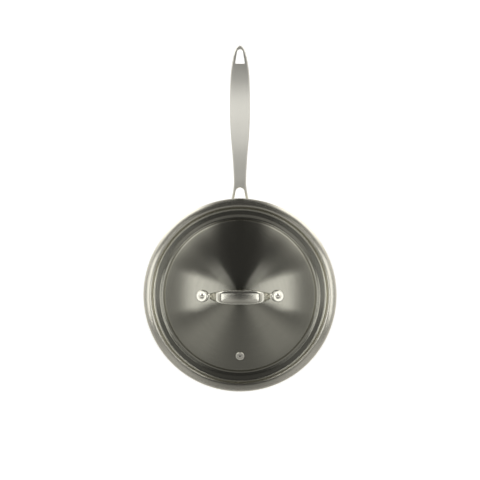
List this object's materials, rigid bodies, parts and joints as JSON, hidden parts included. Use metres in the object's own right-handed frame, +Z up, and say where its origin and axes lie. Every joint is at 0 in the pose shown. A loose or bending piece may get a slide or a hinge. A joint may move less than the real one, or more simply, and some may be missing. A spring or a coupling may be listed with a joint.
{
  "type": "saute pan",
  "caption": "Lidded saute pan with a flared pouring rim, a long forked cast handle, a clad base and a domed lid with a strap handle and a vent.",
  "frame": {"origin": "centre of the base's underside, on the surface that the pan stands on", "axes": "+Z up along the pan's axis, +Y along the long handle towards its tip, +X to the right of the handle"},
  "size_m": [0.2726, 0.4831, 0.1297],
  "materials": {
    "steel": "circular brushed",
    "satin_steel": "satin cast",
    "polished_steel": "polished",
    "aluminium": "plain, closed in"
  },
  "bodies": {
    "pan": {"pan_shell": "steel", "base_core": "aluminium", "base_cap": "steel", "long_handle": "satin_steel", "handle_rivets": "polished_steel"},
    "lid": {"lid_shell": "steel", "lid_handle": "satin_steel", "lid_rivets": "polished_steel", "vent_eyelet": "polished_steel"}
  },
  "joints": [
    {"name": "lid_lift", "type": "slide", "parent": "pan", "child": "lid", "axis": [0, 0, 1], "range_m": [0, 0.12]}
  ]
}
